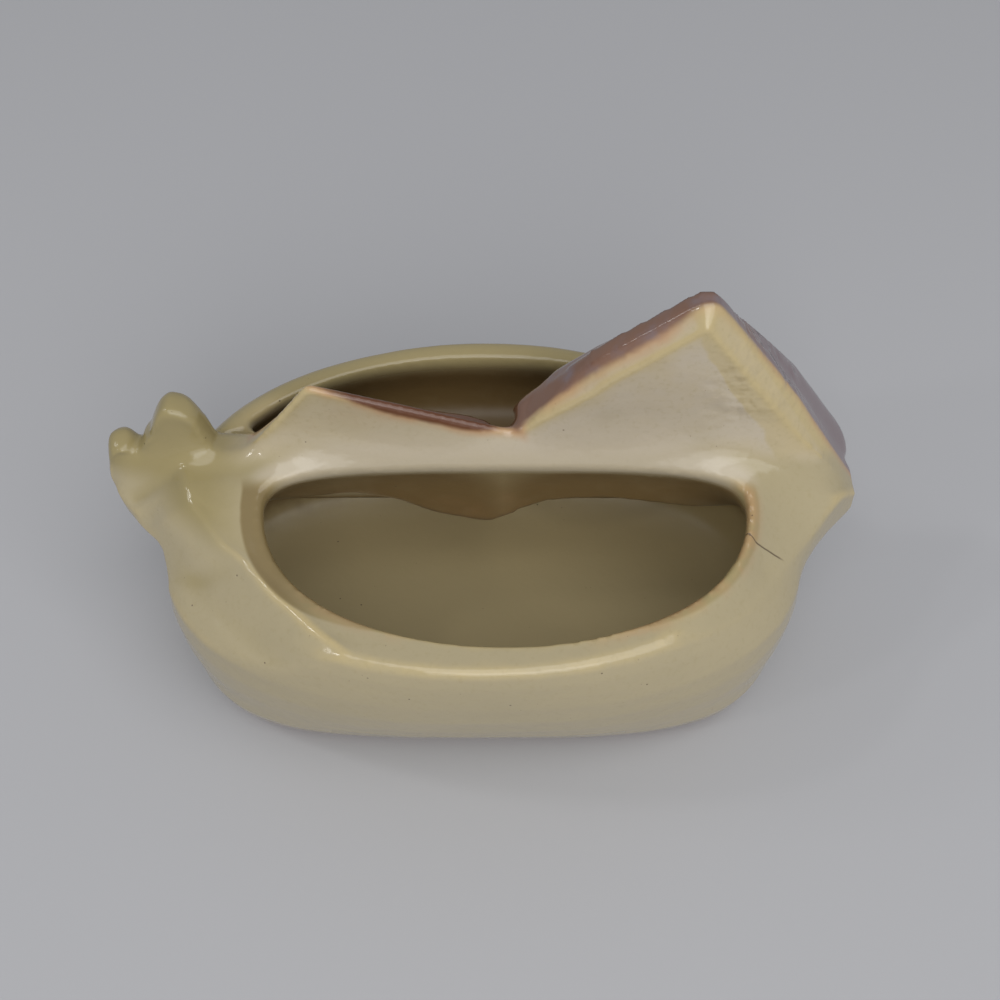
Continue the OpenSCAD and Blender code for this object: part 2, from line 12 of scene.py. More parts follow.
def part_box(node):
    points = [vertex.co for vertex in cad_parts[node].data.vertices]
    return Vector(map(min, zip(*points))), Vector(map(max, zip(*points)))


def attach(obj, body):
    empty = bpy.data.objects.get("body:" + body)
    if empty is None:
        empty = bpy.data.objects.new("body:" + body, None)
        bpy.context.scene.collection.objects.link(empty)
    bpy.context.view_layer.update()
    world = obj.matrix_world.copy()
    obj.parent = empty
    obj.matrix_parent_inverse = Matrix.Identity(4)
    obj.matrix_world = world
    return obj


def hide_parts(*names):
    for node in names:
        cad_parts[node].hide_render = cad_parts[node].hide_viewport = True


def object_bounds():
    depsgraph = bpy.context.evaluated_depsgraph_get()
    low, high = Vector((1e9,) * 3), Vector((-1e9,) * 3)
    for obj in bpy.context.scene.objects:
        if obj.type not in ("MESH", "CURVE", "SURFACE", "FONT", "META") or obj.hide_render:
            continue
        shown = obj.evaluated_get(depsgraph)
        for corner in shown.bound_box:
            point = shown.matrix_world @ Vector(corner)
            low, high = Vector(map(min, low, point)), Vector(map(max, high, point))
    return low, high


bl_info = {
    "name": "Ceramic planter",
    "version": (1, 0, 0),
    "blender": (4, 5, 0),
    "location": "View3D > Sidebar > Planter",
    "description": "Glazed planter with a standing slab, and the studio that shows it",
    "category": "Object",
}

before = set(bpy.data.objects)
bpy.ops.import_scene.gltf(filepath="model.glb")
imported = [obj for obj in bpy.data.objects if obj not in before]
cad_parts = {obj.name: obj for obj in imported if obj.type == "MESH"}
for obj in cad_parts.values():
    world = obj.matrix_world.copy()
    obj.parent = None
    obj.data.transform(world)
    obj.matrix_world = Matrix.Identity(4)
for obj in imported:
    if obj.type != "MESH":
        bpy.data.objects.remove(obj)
CAD_BOX = [list(corner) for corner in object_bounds()]

MM = 0.001
SLAB_NODES = ("back_panel", "left_arm", "right_wing")
BOWL_NODES = ("bowl", "back_rim", "front_basin", "left_root", "right_root")
LEAF_NODES = ("left_leaf", "right_leaf")

# Places and lengths below are in millimetres: x to the right, y towards the front basin, z up
# The seam between belly and collar, and the slab's two faces
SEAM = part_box("bowl")[1].z / MM
SLAB_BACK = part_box("back_panel")[0].y / MM
SLAB_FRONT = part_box("back_panel")[1].y / MM
# The planting mouth as seen from above: its middle, and how far it reaches from there
MOUTH_X, MOUTH_Y = 6.5, -8
MOUTH_SIDE, MOUTH_NEAR, MOUTH_FAR = 70.5, 43.5, 13.5
# The middle between left and right that the webs and roots are measured from
WEB_MIDDLE = 4
# The panel's top edge falls from the peak to the notch: x and z of both
PEAK_X, PEAK_Z = -50, 105.5
NOTCH_X, NOTCH_Z = 8, 86.5
# A place on each inner edge of the wing's bevel, x and z, and the way in which that edge faces
WING_RIGHT = (66, 126, 0.847, 0.533)
WING_LEFT = (12, 85, -0.7, 0.714)

# Lines that the softened clay is brought to, each given as a few places
# y and x of the left shoulder's crest, from the near lip to the tall lobe
SHOULDER_CREST = (
    (-54, -38.8), (-48, -47.3), (-37.3, -58), (-24.5, -69.3), (-19, -76.5),
    (-12.9, -81.5), (-7.5, -86), (5.7, -89.8), (13.4, -95.3))
# x and z of the tall lobe's top, and then x and the lift that brings it to a peak
LOBE_TOP = (
    (-99, 90), (-96.8, 92), (-94.1, 96.2), (-90.8, 98.9), (-87.3, 98.9),
    (-84.4, 96), (-82.4, 91), (-79.8, 86), (-77, 84))
LOBE_LIFT = ((-97, -4.3), (-95.5, -2.4), (-93.5, 0), (-91, 1.7), (-88, 0.9), (-86, 0.3), (-84, 0))
# Slant, which is height plus a share of depth, and x of the left end of the wing's pillowed front
FRONT_SLANT = 1.12
FRONT_END = ((72, 5.6), (77.5, 7.9), (83, 10.8), (86.7, 13.7), (89.5, 16.6), (96.5, 21.8), (101.5, 25.8))
# Slant and x of the arm's underside, from the belly up to the small lobe
ROOT_SLANT = 1.28
ROOT_EDGE = (
    (26, -94), (34.7, -95), (42.5, -95.9), (46.2, -97.5), (54, -103.6),
    (61.7, -108.2), (70.3, -110.6), (82, -114))


def shade(name, description, *default):
    """A colour that a user can change."""
    return FloatVectorProperty(
        name=name, description=description, subtype="COLOR", size=3, min=0, max=1, default=default)


class GlazeColours(bpy.types.PropertyGroup):
    """Colours of the glazes and of the bare clay, with a brown painted shade and a purple-grey painted
    reflection among them.
    """

    cream: shade("Cream glaze", "Cream glaze on the belly and the rims", 0.385, 0.325, 0.20)
    khaki: shade("Thin glaze", "Cream glaze where it lies thin on edges", 0.47, 0.375, 0.195)
    pale: shade("Thick glaze", "Cream glaze where it lies thick on the slab", 0.48, 0.415, 0.32)
    olive: shade("Pooled glaze", "Cream glaze that has pooled in a hollow", 0.30, 0.245, 0.115)
    shadow: shade("Inner glaze", "Glaze inside the planting mouth", 0.40, 0.325, 0.175)
    # Brown painted shade for the walls of the hollows and the left part of the band along the mouth's rim
    umber_shade: shade("Brown shade", "Brown painted shade on the walls of the hollows and on the mouth's left band", 0.15, 0.095, 0.035)
    mauve: shade("Leaf glaze", "Mauve-brown glaze of the pillowed fronts", 0.20, 0.11, 0.075)
    # Purple-grey painted reflection of the sky, laid into the leaf glaze's colour
    leaf_reflection: shade("Leaf reflection", "Purple-grey painted reflection on the leaf glaze", 0.20, 0.155, 0.165)
    rust: shade("Breaking edge", "Red-brown where the leaf glaze breaks", 0.115, 0.042, 0.018)
    peach: shade("Bleed", "Tint of the cream glaze beside the leaf glaze", 0.45, 0.25, 0.125)
    speck: shade("Specks", "Iron specks and pinholes in the glaze", 0.07, 0.045, 0.025)
    clay: shade("Bare clay", "Unglazed foot", 0.42, 0.24, 0.15)


class SkinSizes(bpy.types.PropertyGroup):
    """How finely the clay is modelled and how far the glaze softens it."""

    voxel: FloatProperty(
        name="Voxel", description="Grid on which the clay members grow together", unit="LENGTH",
        default=1.0 * MM, min=0.8 * MM, max=3 * MM)
    edges: IntProperty(
        name="Edge softening", description="Passes that round every edge a little",
        default=3, min=0, max=40)
    rolls: IntProperty(
        name="Roll softening", description="Passes that round the rims and shoulders",
        default=14, min=0, max=60)
    arm: IntProperty(
        name="Lobe softening", description="Passes that round the lobes of the arm",
        default=70, min=0, max=90)
    fill: IntProperty(
        name="Filling", description="Passes that fill the creases between the members",
        default=40, min=0, max=600)
    webs: IntProperty(
        name="Web filling", description="Passes that sweep the webs up into the slab",
        default=500, min=0, max=900)
    shoulder: IntProperty(
        name="Shoulder softening", description="Passes that smooth the raised left shoulder",
        default=40, min=0, max=90)
    roots: IntProperty(
        name="Root softening", description="Passes that smooth the roots of arm and wing",
        default=30, min=0, max=90)
    underside: IntProperty(
        name="Underside softening", description="Passes that smooth the arm's slanting underside",
        default=10, min=0, max=60)
    peak: IntProperty(
        name="Peak softening", description="Passes that smooth the tall lobe's peak",
        default=6, min=0, max=60)
    last: IntProperty(
        name="Last softening", description="Passes that round everything at the end",
        default=2, min=0, max=20)
    triangles: IntProperty(
        name="Triangles", description="Most triangles of the body",
        default=190000, min=20000, max=199000)
    sink: FloatProperty(
        name="Sunk band", description="Depth of the band under the mouth's rim", unit="LENGTH",
        default=0.9 * MM, min=0, max=2 * MM)
    unevenness: FloatProperty(
        name="Unevenness", description="Height of the waves that hand work leaves", unit="LENGTH",
        default=0.3 * MM, min=0, max=1 * MM)
    ripple: FloatProperty(
        name="Ripple", description="Height of the glaze's ripples", unit="LENGTH",
        default=0.07 * MM, min=0, max=0.5 * MM)


class StudioSizes(bpy.types.PropertyGroup):
    """Floor, lamps and camera."""

    floor: shade("Floor", "Colour of the floor", 0.42, 0.42, 0.435)
    sky: shade("Sky", "Colour of the even light from all round", 0.8, 0.82, 0.85)
    sky_strength: FloatProperty(
        name="Sky strength", description="Strength of the even light", default=0.44, min=0, max=2)
    distance: FloatProperty(
        name="Camera distance", description="From the camera to what it looks at", unit="LENGTH",
        default=0.43, min=0.2, max=3)
    elevation: FloatProperty(
        name="Camera elevation", description="Angle of the camera above the horizon", unit="ROTATION",
        subtype="ANGLE", default=math.radians(52), min=0, max=math.radians(90))
    lens: FloatProperty(
        name="Lens", description="Focal length on a 36 mm sensor", default=52.49, min=20, max=200)


def settings(kind):
    """The scene's property group of that kind."""
    return getattr(bpy.context.scene, "planter_" + kind)


def pick(obj):
    """Deselects everything and makes one object the active one."""
    bpy.ops.object.select_all(action="DESELECT")
    obj.select_set(True)
    bpy.context.view_layer.objects.active = obj


def clay_copy(name, nodes):
    """One object that joins copies of the frame's nodes, each with its loose triangles merged."""
    copies = []
    for node in nodes:
        copy = bpy.data.objects.new(name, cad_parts[node].data.copy())
        bpy.context.scene.collection.objects.link(copy)
        pick(copy)
        bpy.ops.object.mode_set(mode="EDIT")
        bpy.ops.mesh.select_all(action="SELECT")
        bpy.ops.mesh.remove_doubles(threshold=0.01 * MM)
        bpy.ops.object.mode_set(mode="OBJECT")
        copies.append(copy)
    for copy in copies:
        copy.select_set(True)
    bpy.ops.object.join()
    joined = bpy.context.view_layer.objects.active
    joined.name = name
    return joined


def add_modifier(obj, kind, **values):
    """Adds a modifier, sets it and applies it."""
    pick(obj)
    bpy.ops.object.modifier_add(type=kind)
    modifier = obj.modifiers[-1]
    for key, value in values.items():
        setattr(modifier, key, value)
    bpy.ops.object.modifier_apply(modifier=modifier.name)


def ramp(values, low, high):
    """0 below low, 1 above high, and a smooth step between them."""
    t = np.clip((values - low) / (high - low), 0, 1)
    return t * t * (3 - 2 * t)


def follow(values, line):
    """Where a line of pairs stands at the values."""
    return np.interp(values, *zip(*line))


def distances(points, nodes):
    """How far each point lies from the nearest surface of the frame's nodes, in millimetres."""
    places, faces = [], []
    for node in nodes:
        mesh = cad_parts[node].data
        first = len(places)
        places += [v.co.copy() for v in mesh.vertices]
        faces += [[first + v for v in p.vertices] for p in mesh.polygons]
    tree = BVHTree.FromPolygons(places, faces)
    return np.array([tree.find_nearest(p)[3] for p in points.tolist()]) / MM


def mouth_reach(x, y):
    """1 on the mouth's edge as seen from above, less inside it and more outside it."""
    far = y > MOUTH_Y
    power = np.where(far, 3.2, 2.0)
    depth = np.where(far, MOUTH_FAR, MOUTH_NEAR)
    across = np.abs((x - MOUTH_X) / MOUTH_SIDE) ** power
    along = np.abs((y - MOUTH_Y) / depth) ** power
    return (across + along) ** (1 / power)


def rim_distance(points):
    """How far each point lies outside the mouth's edge as seen from above, in millimetres."""
    x, y = (points[:, :2] / MM).T
    step, least_slope, most = 0.1, 0.004, 20
    reach = mouth_reach(x, y)
    slope = np.hypot(mouth_reach(x + step, y) - reach, mouth_reach(x, y + step) - reach) / step
    return np.clip((reach - 1) / np.maximum(slope, least_slope), -most, most)


def band_width(x, smooth):
    """Width of the band along the mouth's rim, which grows to the left and a little to the right."""
    return 1.5 + 4.5 * smooth(-x, 20, 58) + 2 * smooth(x, 35, 62)


def waves(points, size, seed):
    """Smooth noise from -1 to 1 at the points, with waves about that long."""
    shift = Vector((seed, -seed, 2 * seed))
    return np.array([noise.noise(Vector(p) / size + shift) for p in points.tolist()])


class Clay:
    """A mesh's points as arrays, so that they can be pushed about as a modeller would."""

    def __init__(self, obj):
        self.mesh = obj.data
        self.points = self.read(self.mesh.vertices, "co", float)
        self.edges = self.read(self.mesh.edges, "vertices", int, 2)
        self.mesh.calc_loop_triangles()
        self.faces = self.read(self.mesh.loop_triangles, "vertices", int)
        self.count_neighbours()

    @staticmethod
    def read(items, name, kind, width=3):
        """One array with a row for each item."""
        values = np.empty(len(items) * width, kind)
        items.foreach_get(name, values)
        return values.reshape(-1, width)

    def count_neighbours(self):
        """Counts the edges that meet at each point."""
        self.valence = np.bincount(self.edges.ravel(), minlength=len(self.points))[:, None].clip(1)

    def millimetres(self):
        """x, y and z of the points, in millimetres."""
        return (self.points / MM).T

    def mean(self, values):
        """Each point's mean over its neighbours."""
        a, b = self.edges.T
        total = np.empty_like(values)
        for i, column in enumerate(values.T):
            total[:, i] = np.bincount(a, column[b], len(values)) + np.bincount(b, column[a], len(values))
        return total / self.valence

    def blurred(self, values, passes):
        """The values, evened out over their neighbours."""
        for _ in range(passes):
            values = values + 0.5 * (self.mean(values) - values)
        return values

    def normals(self):
        """Unit normals at the points."""
        a, b, c = (self.points[self.faces[:, i]] for i in range(3))
        facing = np.cross(b - a, c - a)
        total = np.zeros_like(self.points)
        for corner in self.faces.T:
            for axis in range(3):
                total[:, axis] += np.bincount(corner, facing[:, axis], len(total))
        return total / np.maximum(np.linalg.norm(total, axis=1, keepdims=True), 1e-12)

    def soften(self, passes, where=None):
        """Rounds edges and keeps the volume, by a pass in and a pass out."""
        share = 1.0 if where is None else where[:, None]
        for step in range(2 * passes):
            amount = 0.5 if step % 2 == 0 else -0.52
            self.points += share * amount * (self.mean(self.points) - self.points)

    def fill(self, passes, where):
        """Fills creases, and leaves crests as they are. Every fourth pass looks at the normals again."""
        for step in range(passes):
            if step % 4 == 0:
                normal = self.normals()
            move = self.mean(self.points) - self.points
            rise = (move * normal).sum(1, keepdims=True)
            slide = move - rise * normal
            self.points += where * (0.5 * np.maximum(rise, 0) * normal + 0.2 * slide)

    def fill_patch(self, passes, where):
        """Fills creases over a wide stretch, on the points that where names alone."""
        kept = where > 0
        index = np.cumsum(kept) - 1
        patch = Clay.__new__(Clay)
        patch.points = self.points[kept]
        patch.edges = index[self.edges[kept[self.edges].all(axis=1)]]
        patch.faces = index[self.faces[kept[self.faces].all(axis=1)]]
        patch.count_neighbours()
        patch.fill(passes, where[kept][:, None])
        self.points[kept] = patch.points

    def curvature(self, passes, height):
        """From -1 in hollows to 1 on crests, at a scale that grows with the passes."""
        drop = self.points - self.blurred(self.points, passes)
        return np.clip((drop * self.normals()).sum(1) / height, -1, 1)

    def write(self):
        """Puts the points back into the mesh."""
        self.mesh.vertices.foreach_set("co", self.points.ravel())
        self.mesh.update()

    def attribute(self, name, values):
        """Stores one number for each point."""
        layer = self.mesh.attributes.new(name, "FLOAT", "POINT")
        layer.data.foreach_set("value", np.asarray(values, np.float32))


def join_members(clay, sizes):
    """Softens the members' edges, fills the creases between them and sweeps the webs up to the slab."""
    clay.soften(sizes.edges)
    _, y, z = clay.millimetres()
    on_slab = ramp(y, SLAB_BACK - 3, SLAB_BACK) * ramp(z, 70, 76)
    clay.soften(sizes.rolls, 1 - on_slab)
    clay.fill(sizes.fill, 1.0)
    x, y, z = clay.millimetres()
    at_ends = 0.6 + 0.4 * ramp(np.abs(x - WEB_MIDDLE), 35, 75)
    height = ramp(z, SEAM - 6, SEAM + 6) * ramp(98 - z, 0, 14)
    behind_slab = ramp(y, -24, -10) * ramp(SLAB_BACK + 3.5 - y, 0, 3.5)
    clay.fill_patch(sizes.webs, at_ends * height * behind_slab)


def left_crest(clay, normal):
    """Lift that makes the left shoulder one plateau from the near lip to the tall lobe, and its crest."""
    x, y, z = clay.millimetres()
    rim = rim_distance(clay.points)
    outward, side_slope, rounding = 0.72, 0.62, 3
    most_up, most_down, crest_height, crest_width = 8, 7, 0.8, 2
    out = outward * (follow(y, SHOULDER_CREST) - x)
    plateau = 69.3 + 6.7 * ramp(y, -26, 2)
    gap = plateau - side_slope * (out + np.sqrt(out * out + rounding)) - z
    upward = ramp(normal[:, 2], 0.2, 0.5)
    lift = np.clip(gap, 0, most_up) * upward * ramp(12 - out, 0, 8) * ramp(-x, 34, 46)
    lift += np.clip(gap, -most_down, 0) * ramp(20 - out, 0, 12) * ramp(-x, 30, 66)
    where = ramp(z, SEAM - 2, SEAM + 10) * ramp(y, -62, -50) * ramp(8 - y, 0, 6) * ramp(rim, 3, 7)
    lift = clay.blurred((where * lift)[:, None], 6)[:, 0]
    crest = crest_height * np.exp(-((out + 1) / crest_width) ** 2)
    return lift * MM, crest * where * ramp(-x, 30, 42) * upward * MM


def shape_shoulder(clay, sizes):
    """Raises the left shoulder, softens it and sets its thin crest on it."""
    lift, crest = left_crest(clay, clay.normals())
    clay.points[:, 2] += lift
    x, y, z = clay.millimetres()
    off_mouth = ramp(rim_distance(clay.points), 2, 6)
    where = ramp(-x, 48, 60) * ramp(z, SEAM - 6, SEAM + 6) * ramp(SLAB_BACK + 2 - y, 0, 6)
    clay.soften(sizes.shoulder, where * off_mouth)
    clay.points[:, 2] += crest


def lobe_excess(clay):
    """How far each point of the tall lobe stands above the lobe's rounded top, in metres."""
    x, y, z = clay.millimetres()
    behind = np.maximum(y - 14.5, 0)
    over = z - follow(x + 0.33 * behind, LOBE_TOP) + 1.1 * behind
    where = ramp(-x, 76, 79) * ramp(99.5 + x, 0, 2) * ramp(SLAB_FRONT + 6 - y, 0, 3)
    return np.clip(over, 0, 8) * where * MM


def lobe_lift(clay):
    """How far the tall lobe's top rises at its peak, and falls at its left corner, in metres."""
    x, y, z = clay.millimetres()
    where = ramp(z, 79, 91) * ramp(-x, 80, 84) * ramp(SLAB_FRONT + 7 - y, 0, 3)
    return follow(x, LOBE_LIFT) * where * MM


def front_excess(clay):
    """How far each point of the wing's pillowed front stands left of its slanting end, in metres."""
    x, y, z = clay.millimetres()
    slant = z + FRONT_SLANT * (y - 25)
    where = ramp(x, 4, 6) * ramp(y, 14, 18) * ramp(36 - y, 0, 3)
    where *= ramp(slant, 72, 76) * ramp(101 - slant, 0, 8)
    return np.clip(follow(slant, FRONT_END) - x, 0, 9) * where * MM


def root_excess(clay):
    """How far each point under the arm stands left of the arm's slanting underside, in metres."""
    x, y, z = clay.millimetres()
    slant = z + ROOT_SLANT * y
    where = ramp(z, 26, 36) * ramp(74 - z, 0, 8) * ramp(SLAB_FRONT + 6 - y, 0, 6)
    return np.clip(follow(slant, ROOT_EDGE) - x, 0, 7) * where * MM


def round_arm(clay, sizes):
    """Softens the roots, rounds the lobes of the arm, and slants and rounds the notch beside the wing."""
    x, y, z = clay.millimetres()
    roots = ramp(np.abs(x - WEB_MIDDLE), 74, 84) * ramp(72 - z, 0, 8)
    arm = ramp(-x, 62, 74) * ramp(z, 70, 77)
    notch = ramp(20 - x, 0, 8) * ramp(x, 2, 8) * ramp(z, 78, 84) * ramp(y, 13, 18)
    clay.soften(sizes.roots, roots)
    clay.points[:, 2] -= 0.9 * lobe_excess(clay)
    clay.points[:, 0] += front_excess(clay)
    clay.soften(sizes.arm, np.maximum(arm, notch))


def trim_arm(clay, sizes):
    """Brings the tall lobe to a peak and slants the arm's underside, and smooths both."""
    clay.points[:, 2] += lobe_lift(clay)
    clay.points[:, 0] += 0.95 * root_excess(clay)
    x, _, z = clay.millimetres()
    underside = ramp(-x, 88, 94) * ramp(z, 24, 36) * ramp(76 - z, 0, 8)
    lobes = ramp(-x, 78, 84) * ramp(z, 78, 86)
    clay.soften(sizes.underside, underside)
    clay.soften(sizes.peak, lobes)


def sink_rim(clay, sizes):
    """Sinks the band along the mouth's near rim, where the glaze has drawn away."""
    x, y, z = clay.millimetres()
    rim = rim_distance(clay.points)
    across = (1 - np.clip(rim / band_width(x, ramp), 0, 1)) ** 2 * ramp(rim, -4, -1)
    clay.points[:, 2] -= sizes.sink * across * ramp(z, 58, 64) * ramp(2 - y, 0, 6)
    clay.soften(sizes.last)


def roughen(clay, sizes, normal):
    """Leaves the waves of hand work and the glaze's ripples, and keeps the clay inside the frame's box."""
    for height, size, seed in ((sizes.unevenness, 34 * MM, 3.7), (sizes.ripple, 9 * MM, 8.1)):
        clay.points += (height * waves(clay.points, size, seed))[:, None] * normal
    clay.points = clay.points.clip(*(np.array(corner) for corner in CAD_BOX))


def leaf_border(clay):
    """How far each point lies inside the leaf glaze, in millimetres, and below 0 outside it."""
    x, y, z = clay.millimetres()
    leaf, slab, bowl = (distances(clay.points, nodes) for nodes in (LEAF_NODES, SLAB_NODES, BOWL_NODES))
    on_leaf = np.minimum(slab, bowl) - leaf
    on_slab = np.minimum(bowl, 12) - slab - 1
    cream_bevel = 3.2 + 3.6 * ramp(x, 45, 75)
    on_wing = np.minimum.reduce([y - SLAB_BACK - cream_bevel, x - 9.5, on_slab])
    ridge_y = SLAB_BACK + 2.6 + 3 * ramp(-x, 44, 52)
    ridge_z = PEAK_Z - (x - PEAK_X) * (PEAK_Z - NOTCH_Z) / (NOTCH_X - PEAK_X)
    band = 3.6 * ramp(x, -52, -24) * ramp(10 - x, 0, 16)
    past_ridge = np.maximum(y - ridge_y, z - ridge_z + band - 0.2)
    on_panel = np.minimum.reduce([past_ridge, 11 - x, x + 68, on_slab])
    border = np.clip(np.maximum.reduce([on_leaf, on_wing, on_panel]), -9, 9)
    return clay.blurred(border[:, None], 3)[:, 0]


def mouth_share(clay, normal):
    """1 on the surfaces inside the planting mouth, and 0 outside it."""
    x, y, z = clay.millimetres()
    middle_x, middle_y, floor_z = 5, -4, 30
    hollow_side, hollow_depth = 82, 49
    inward = (normal * np.stack([middle_x - x, middle_y - y, 0 * x], axis=1)).sum(1)
    inward /= np.maximum(np.hypot(x - middle_x, y - middle_y), 10)
    level = ramp(normal[:, 2], 0.3, 0.7) * ramp(floor_z - z, 0, 8)
    overhang = 0.6 * ramp(-normal[:, 2], 0.3, 0.8) * (z > floor_z)
    facing = np.maximum(ramp(inward, -0.1, 0.35), level + overhang)
    lip = 67 + 8 * ramp(y, -40, 8)
    from_middle = np.hypot((x - MOUTH_X) / hollow_side, (y - MOUTH_Y) / hollow_depth)
    below_mouth = ramp(1 - from_middle, -0.02, 0.06)
    deep = ramp(SEAM - 4 - z, 0, 4)
    within = np.maximum((y < SLAB_FRONT - 2) * below_mouth, deep)
    return facing * ramp(lip - z, 1, 5) * (z > 5) * within


def basin_share(clay, normal):
    """1 on the surfaces inside the front basin, and 0 outside it and on the leaves."""
    x, y, z = clay.millimetres()
    middle_y = 22
    towards_middle = np.stack([0 * x, middle_y - y, 6 + 0 * z], axis=1)
    inward = (normal * towards_middle).sum(1) / np.linalg.norm(towards_middle, axis=1)
    on_floor = ramp(normal[:, 2], 0.2, 0.6) * (z < 60)
    within = ramp(y, SLAB_FRONT - 2, SLAB_FRONT) * ramp(70 - z, 0, 7) * ramp(z, 43, 45)
    off_leaf = distances(clay.points, LEAF_NODES) > 1
    return within * np.maximum(ramp(inward, -0.1, 0.4), on_floor) * off_leaf


def mark(clay, normal):
    """Stores what the glaze and its painted light and shade follow: crests, swellings, the leaf glaze's
    border, hollows and the rim.
    """
    clay.attribute("crest", clay.curvature(5, 0.25 * MM))
    clay.attribute("swell", clay.curvature(60, 1.6 * MM))
    clay.attribute("border", leaf_border(clay))
    clay.attribute("inside", np.maximum(mouth_share(clay, normal), basin_share(clay, normal)))
    clay.attribute("rim", rim_distance(clay.points))


class PLANTER_OT_body(bpy.types.Operator):
    """Grow the clay members together into one glazed body"""

    bl_idname = "planter.body"
    bl_label = "Glazed body"

    def execute(self, context):
        sizes = settings("skin")
        body = clay_copy("glazed_body", BOWL_NODES + SLAB_NODES + LEAF_NODES)
        add_modifier(body, "REMESH", mode="VOXEL", voxel_size=sizes.voxel)
        clay = Clay(body)
        for work in (join_members, shape_shoulder, round_arm, trim_arm, sink_rim):
            work(clay, sizes)
        normal = clay.normals()
        roughen(clay, sizes, normal)
        clay.write()
        mark(clay, normal)
        share = sizes.triangles / (2 * len(body.data.polygons))
        if share < 1:
            add_modifier(body, "DECIMATE", decimate_type="COLLAPSE", ratio=share)
        bpy.ops.object.shade_smooth()
        body.data.materials.clear()
        body.data.materials.append(Glaze().material)
        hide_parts(*BOWL_NODES, *SLAB_NODES, *LEAF_NODES)
        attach(body, "root")
        return {"FINISHED"}


class PLANTER_OT_foot(bpy.types.Operator):
    """Give the foot ring its bare clay"""

    bl_idname = "planter.foot"
    bl_label = "Foot ring"

    def execute(self, context):
        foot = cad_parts["foot_ring"]
        foot.data.materials.clear()
        foot.data.materials.append(clay_material())
        return {"FINISHED"}


class Wire:
    """A shader socket that adds its own Math nodes."""

    def __init__(self, tree, socket):
        self.tree, self.socket = tree, socket

    def maths(self, operation, *values):
        """A Math node on the values."""
        return self.tree.node("ShaderNodeMath", {"operation": operation}, values)

    def __add__(self, other):
        return self.maths("ADD", self, other)

    def __radd__(self, other):
        return self.maths("ADD", other, self)

    def __sub__(self, other):
        return self.maths("SUBTRACT", self, other)

    def __rsub__(self, other):
        return self.maths("SUBTRACT", other, self)

    def __mul__(self, other):
        return self.maths("MULTIPLY", self, other)

    def __rmul__(self, other):
        return self.maths("MULTIPLY", other, self)

    def __neg__(self):
        return self.maths("MULTIPLY", self, -1)

    def __abs__(self):
        return self.maths("ABSOLUTE", self)

    def least(self, other):
        """The lesser of two values."""
        return self.maths("MINIMUM", self, other)

    def most(self, other):
        """The greater of two values."""
        return self.maths("MAXIMUM", self, other)

    def share(self):
        """The value, held between 0 and 1."""
        return self.least(1).most(0)

    def step(self, low, high):
        """0 below low, 1 above high, and a smooth step between them."""
        options = {"interpolation_type": "SMOOTHSTEP"}
        values = {"Value": self, "From Min": low, "From Max": high}
        return self.tree.node("ShaderNodeMapRange", options, values)


class Shader:
    """One material's nodes, with a Principled shader at the end."""

    def __init__(self, name, **constants):
        self.material = bpy.data.materials.new(name)
        self.material.use_nodes = True
        self.tree = self.material.node_tree
        self.surface = self.tree.nodes["Principled BSDF"]
        for socket, value in constants.items():
            self.surface.inputs[socket].default_value = value

    def node(self, kind, options=None, values=(), output=0):
        """Adds a node, sets its options, then gives or links the values of its sockets."""
        node = self.tree.nodes.new(kind)
        for key, value in (options or {}).items():
            setattr(node, key, value)
        pairs = values.items() if isinstance(values, dict) else enumerate(values)
        for key, value in pairs:
            if isinstance(value, Wire):
                self.tree.links.new(value.socket, node.inputs[key])
            else:
                node.inputs[key].default_value = value
        return Wire(self, node.outputs[output])

    def drive(self, socket, wire):
        """Links a wire to a socket of the surface."""
        self.tree.links.new(wire.socket, self.surface.inputs[socket])

    def place(self):
        """Object coordinates in millimetres, whole and as x, y and z."""
        metres = self.node("ShaderNodeTexCoord", output="Object")
        values = {"Vector": metres, "Scale": 1 / MM}
        whole = self.node("ShaderNodeVectorMath", {"operation": "SCALE"}, values)
        return whole, [self.node("ShaderNodeSeparateXYZ", None, [whole], axis) for axis in range(3)]

    def attribute(self, name):
        """A number that is stored at the mesh's points."""
        return self.node("ShaderNodeAttribute", {"attribute_name": name}, output="Fac")

    def noise(self, place, size, detail=2.0, offset=0.0):
        """Noise from 0 to 1 with features about that many millimetres wide."""
        moved = self.node("ShaderNodeVectorMath", {"operation": "ADD"}, [place, (offset, offset, offset)])
        values = {"Vector": moved, "Scale": 1 / size, "Detail": detail}
        return self.node("ShaderNodeTexNoise", None, values, "Fac")

    def dots(self, place, apart, radius, offset):
        """1 in sparse dots of about that radius, and 0 between them."""
        moved = self.node("ShaderNodeVectorMath", {"operation": "ADD"}, [place, (offset, -offset, offset)])
        nearest = self.node("ShaderNodeTexVoronoi", None, {"Vector": moved, "Scale": 1 / apart}, "Distance")
        return 1 - (nearest * apart).step(0.5 * radius, radius)

    def mix(self, share, first, second):
        """A colour between two colours."""
        values = {0: share, 6: colour(first), 7: colour(second)}
        return self.node("ShaderNodeMix", {"data_type": "RGBA"}, values, 2)

    def bump(self, height, distance):
        """A normal that follows a height, in units of the distance."""
        return self.node("ShaderNodeBump", None, {"Height": height, "Distance": distance}, "Normal")


def colour(value):
    """A wire as it is, and three numbers as a colour with its alpha."""
    return value if isinstance(value, Wire) else (*value[:3], 1.0)


